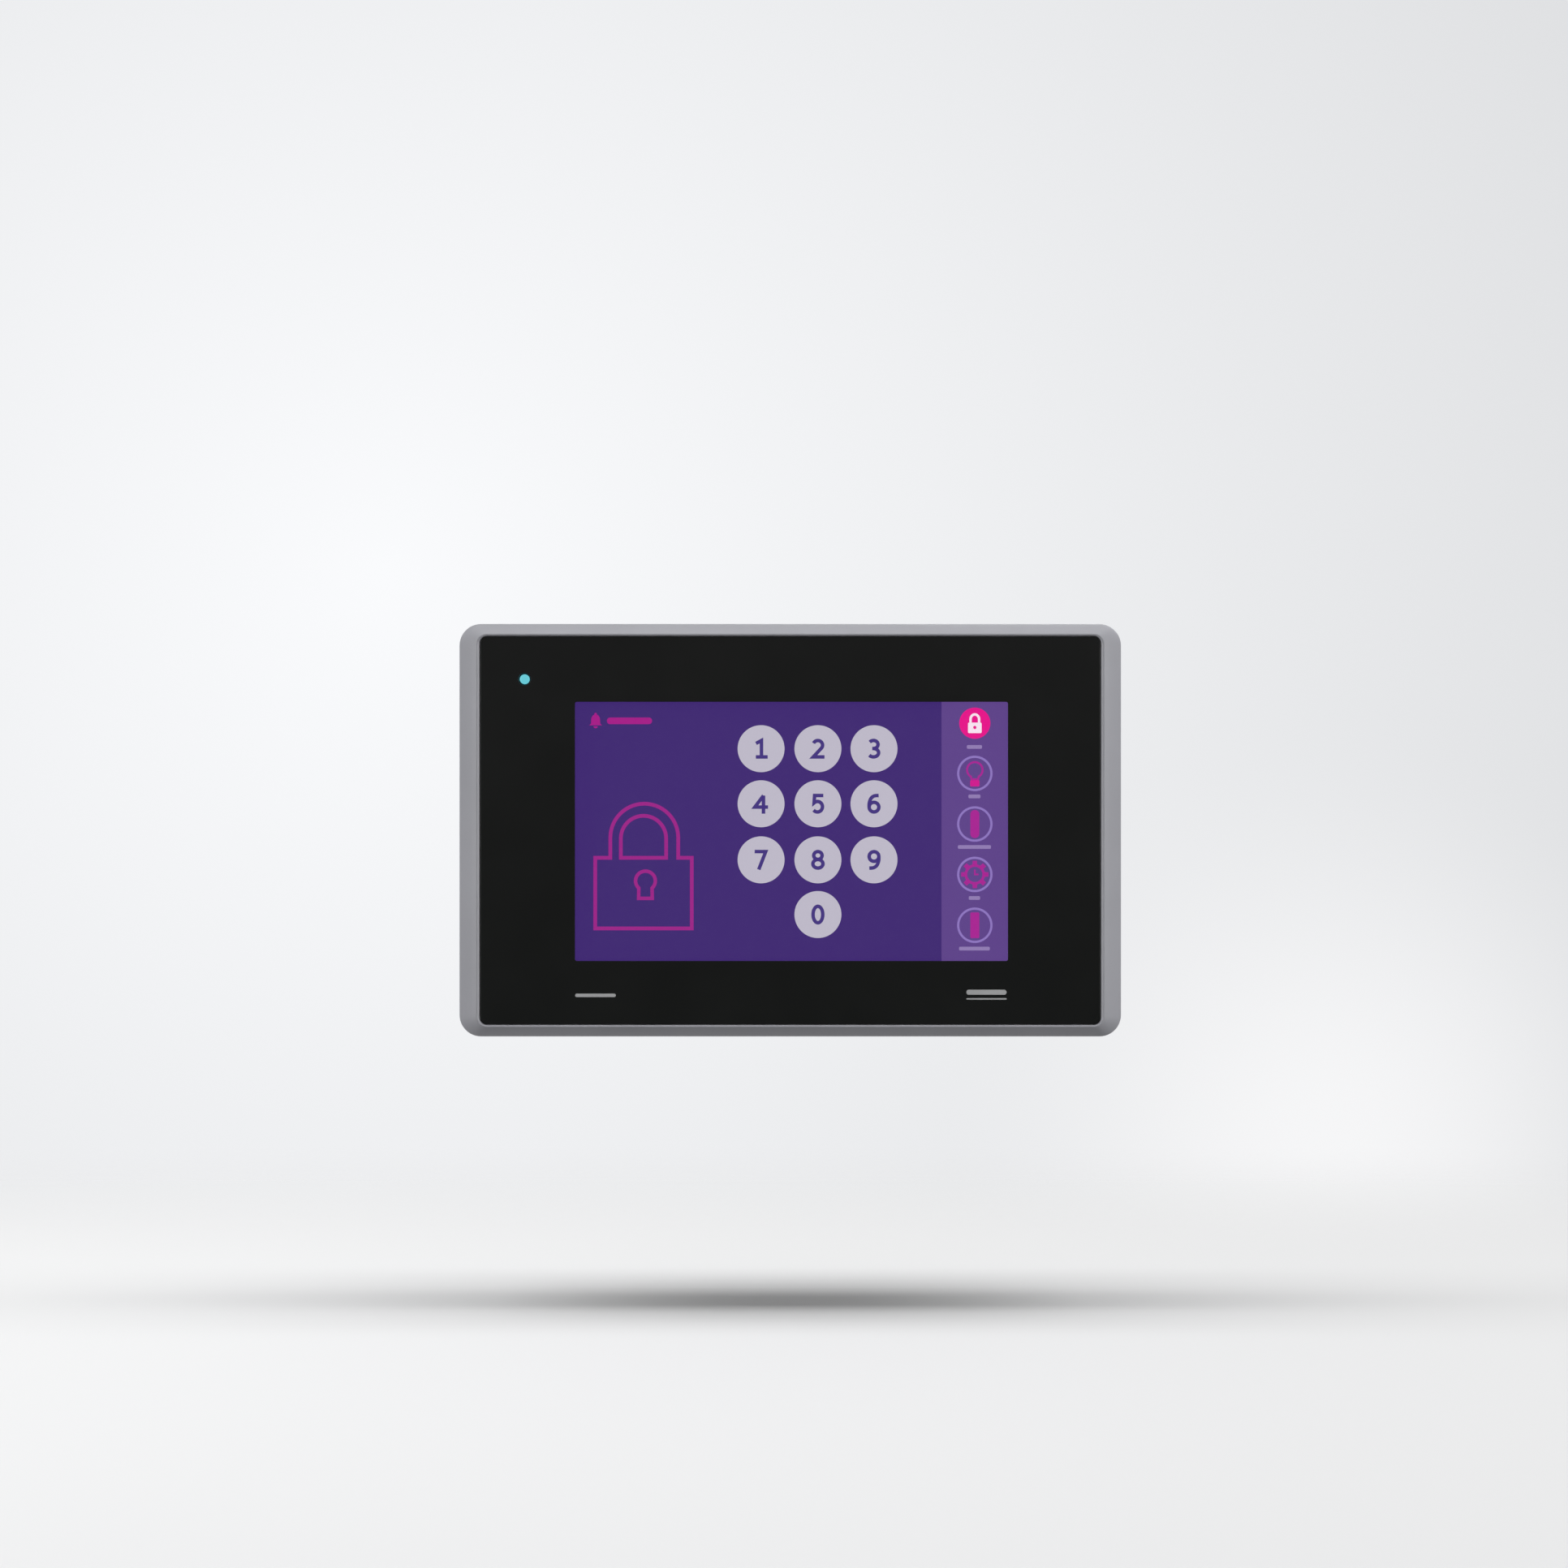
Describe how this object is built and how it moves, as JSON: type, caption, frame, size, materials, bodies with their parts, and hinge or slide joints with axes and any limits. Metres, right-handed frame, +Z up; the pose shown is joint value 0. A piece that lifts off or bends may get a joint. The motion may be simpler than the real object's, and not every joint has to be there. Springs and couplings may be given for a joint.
{
  "type": "alarm keypad panel",
  "caption": "Panel-mount touch screen that shows an alarm keypad, with sealed front frame, rear housing, screw clamps and a bay of downward-facing ports.",
  "frame": {"origin": "middle of the door's cut-out, on the door's front surface, where the gasket seats", "axes": "+X to the right for someone facing the screen, +Y from the screen into the cabinet, +Z up"},
  "size_m": [0.17, 0.0507, 0.106],
  "materials": {
    "frame_grey": "satin grey paint on a die-cast frame",
    "black_film": "black printed film, semi-gloss",
    "clear_glass": "clear touch glass",
    "lcd_purple": "lit display, purple",
    "light_guide": "clear acrylic light guide",
    "status_cyan": "clear light pipe, lit cyan",
    "black_foam": "soft black foam rubber",
    "flex_amber": "amber polyimide film",
    "steel": "plain steel sheet",
    "zinc": "zinc-plated steel",
    "aluminium": "extruded aluminium",
    "board_green": "green solder resist",
    "chip_black": "black moulded plastic",
    "case_grey": "dark grey textured plastic",
    "terminal_green": "green connector plastic",
    "port_black": "black connector plastic",
    "switch_red": "red switch body",
    "white_nylon": "white nylon",
    "label_silver": "silver polyester label"
  },
  "bodies": {
    "panel": {"front_frame": "frame_grey", "front_overlay": "black_film", "sealing_gasket": "black_foam", "touch_panel": "clear_glass", "touch_flat_cable": "flex_amber", "display_cushion": "black_foam", "lcd_cell": "lcd_purple", "lcd_light_guide": "light_guide", "lcd_tray": "steel", "lcd_flat_cable": "flex_amber", "status_light_pipe": "status_cyan", "chassis_plate": "steel", "main_board": "board_green", "heat_sink": "aluminium", "buzzer": "chip_black", "battery_holder": "port_black", "coin_battery": "steel", "ethernet_shield": "steel", "ethernet_insert": "port_black", "usb_shell": "steel", "usb_tongue": "white_nylon", "serial_shell": "steel", "serial_insert": "port_black", "power_header": "terminal_green", "mode_switch_body": "switch_red", "rear_housing": "case_grey", "rating_label": "label_silver", "board_screw_1": "zinc", "housing_screw_1": "zinc", "board_screw_2": "zinc", "housing_screw_2": "zinc", "board_screw_3": "zinc", "housing_screw_3": "zinc", "board_screw_4": "zinc", "housing_screw_4": "zinc", "serial_jack_nut_1": "steel", "serial_jack_nut_2": "steel"},
    "power_plug": {"power_plug": "terminal_green"},
    "ground_washer": {"ground_washer": "zinc"},
    "ground_screw": {"ground_screw": "zinc"},
    "mode_switch_slider_1": {"mode_switch_slider_1": "white_nylon"},
    "mode_switch_slider_2": {"mode_switch_slider_2": "white_nylon"},
    "power_plug_screw_1": {"power_plug_screw_1": "zinc"},
    "power_plug_cage_1": {"power_plug_cage_1": "zinc"},
    "power_plug_screw_2": {"power_plug_screw_2": "zinc"},
    "power_plug_cage_2": {"power_plug_cage_2": "zinc"},
    "power_plug_screw_3": {"power_plug_screw_3": "zinc"},
    "power_plug_cage_3": {"power_plug_cage_3": "zinc"},
    "clamp_top_left": {"clamp_top_left": "zinc"},
    "clamp_screw_top_left": {"clamp_screw_top_left": "zinc"},
    "clamp_foot_top_left": {"clamp_foot_top_left": "white_nylon"},
    "clamp_top_right": {"clamp_top_right": "zinc"},
    "clamp_screw_top_right": {"clamp_screw_top_right": "zinc"},
    "clamp_foot_top_right": {"clamp_foot_top_right": "white_nylon"},
    "clamp_bottom_left": {"clamp_bottom_left": "zinc"},
    "clamp_screw_bottom_left": {"clamp_screw_bottom_left": "zinc"},
    "clamp_foot_bottom_left": {"clamp_foot_bottom_left": "white_nylon"},
    "clamp_bottom_right": {"clamp_bottom_right": "zinc"},
    "clamp_screw_bottom_right": {"clamp_screw_bottom_right": "zinc"},
    "clamp_foot_bottom_right": {"clamp_foot_bottom_right": "white_nylon"}
  },
  "joints": [
    {"name": "clamp_top_left_slide", "type": "slide", "parent": "panel", "child": "clamp_top_left", "axis": [0, 1, 0], "range_m": [-0.002, 0]},
    {"name": "clamp_foot_top_left_advance", "type": "slide", "parent": "clamp_top_left", "child": "clamp_foot_top_left", "axis": [0, -1, 0], "range_m": [-0.004, 0.0025]},
    {"name": "clamp_screw_top_left_turn", "type": "hinge", "parent": "clamp_foot_top_left", "child": "clamp_screw_top_left", "pos_m": [-0.062, 0.0352, 0.0492], "axis": [0, -1, 0], "range_deg": [-2058, 1286]},
    {"name": "clamp_top_right_slide", "type": "slide", "parent": "panel", "child": "clamp_top_right", "axis": [0, 1, 0], "range_m": [-0.002, 0]},
    {"name": "clamp_foot_top_right_advance", "type": "slide", "parent": "clamp_top_right", "child": "clamp_foot_top_right", "axis": [0, -1, 0], "range_m": [-0.004, 0.0025]},
    {"name": "clamp_screw_top_right_turn", "type": "hinge", "parent": "clamp_foot_top_right", "child": "clamp_screw_top_right", "pos_m": [0.062, 0.0352, 0.0492], "axis": [0, -1, 0], "range_deg": [-2058, 1286]},
    {"name": "clamp_bottom_left_slide", "type": "slide", "parent": "panel", "child": "clamp_bottom_left", "axis": [0, 1, 0], "range_m": [-0.002, 0]},
    {"name": "clamp_foot_bottom_left_advance", "type": "slide", "parent": "clamp_bottom_left", "child": "clamp_foot_bottom_left", "axis": [0, -1, 0], "range_m": [-0.004, 0.0025]},
    {"name": "clamp_screw_bottom_left_turn", "type": "hinge", "parent": "clamp_foot_bottom_left", "child": "clamp_screw_bottom_left", "pos_m": [-0.062, 0.0352, -0.0492], "axis": [0, -1, 0], "range_deg": [-2058, 1286]},
    {"name": "clamp_bottom_right_slide", "type": "slide", "parent": "panel", "child": "clamp_bottom_right", "axis": [0, 1, 0], "range_m": [-0.002, 0]},
    {"name": "clamp_foot_bottom_right_advance", "type": "slide", "parent": "clamp_bottom_right", "child": "clamp_foot_bottom_right", "axis": [0, -1, 0], "range_m": [-0.004, 0.0025]},
    {"name": "clamp_screw_bottom_right_turn", "type": "hinge", "parent": "clamp_foot_bottom_right", "child": "clamp_screw_bottom_right", "pos_m": [0.062, 0.0352, -0.0492], "axis": [0, -1, 0], "range_deg": [-2058, 1286]},
    {"name": "power_plug_pull", "type": "slide", "parent": "panel", "child": "power_plug", "axis": [0, 0, -1], "range_m": [0, 0.01]},
    {"name": "power_plug_screw_1_turn", "type": "hinge", "parent": "power_plug", "child": "power_plug_screw_1", "pos_m": [-0.04148, 0.027, -0.0333], "axis": [0, -1, 0], "range_deg": [0, 865]},
    {"name": "power_plug_cage_1_rise", "type": "slide", "parent": "power_plug", "child": "power_plug_cage_1", "axis": [0, 1, 0], "range_m": [0, 0.0012]},
    {"name": "power_plug_screw_2_turn", "type": "hinge", "parent": "power_plug", "child": "power_plug_screw_2", "pos_m": [-0.0364, 0.027, -0.0333], "axis": [0, -1, 0], "range_deg": [0, 865]},
    {"name": "power_plug_cage_2_rise", "type": "slide", "parent": "power_plug", "child": "power_plug_cage_2", "axis": [0, 1, 0], "range_m": [0, 0.0012]},
    {"name": "power_plug_screw_3_turn", "type": "hinge", "parent": "power_plug", "child": "power_plug_screw_3", "pos_m": [-0.03132, 0.027, -0.0333], "axis": [0, -1, 0], "range_deg": [0, 865]},
    {"name": "power_plug_cage_3_rise", "type": "slide", "parent": "power_plug", "child": "power_plug_cage_3", "axis": [0, 1, 0], "range_m": [0, 0.0012]},
    {"name": "ground_washer_lift", "type": "slide", "parent": "panel", "child": "ground_washer", "axis": [0, 1, 0], "range_m": [0, 0.0024]},
    {"name": "ground_screw_turn", "type": "hinge", "parent": "ground_washer", "child": "ground_screw", "pos_m": [-0.062, 0.0414, -0.033], "axis": [0, 1, 0], "range_deg": [0, 1081]},
    {"name": "mode_switch_1_slide", "type": "slide", "parent": "panel", "child": "mode_switch_slider_1", "axis": [0, 1, 0], "range_m": [0, 0.0016]},
    {"name": "mode_switch_2_slide", "type": "slide", "parent": "panel", "child": "mode_switch_slider_2", "axis": [0, 1, 0], "range_m": [0, 0.0016]}
  ],
  "couplings": [
    {"joint": "clamp_screw_top_left_turn", "follows": "clamp_foot_top_left_advance", "rad_per_m": 8976},
    {"joint": "clamp_screw_top_right_turn", "follows": "clamp_foot_top_right_advance", "rad_per_m": 8976},
    {"joint": "clamp_screw_bottom_left_turn", "follows": "clamp_foot_bottom_left_advance", "rad_per_m": 8976},
    {"joint": "clamp_screw_bottom_right_turn", "follows": "clamp_foot_bottom_right_advance", "rad_per_m": 8976},
    {"joint": "power_plug_screw_1_turn", "follows": "power_plug_cage_1_rise", "rad_per_m": 12566},
    {"joint": "power_plug_screw_2_turn", "follows": "power_plug_cage_2_rise", "rad_per_m": 12566},
    {"joint": "power_plug_screw_3_turn", "follows": "power_plug_cage_3_rise", "rad_per_m": 12566},
    {"joint": "ground_screw_turn", "follows": "ground_washer_lift", "rad_per_m": 7854}
  ]
}
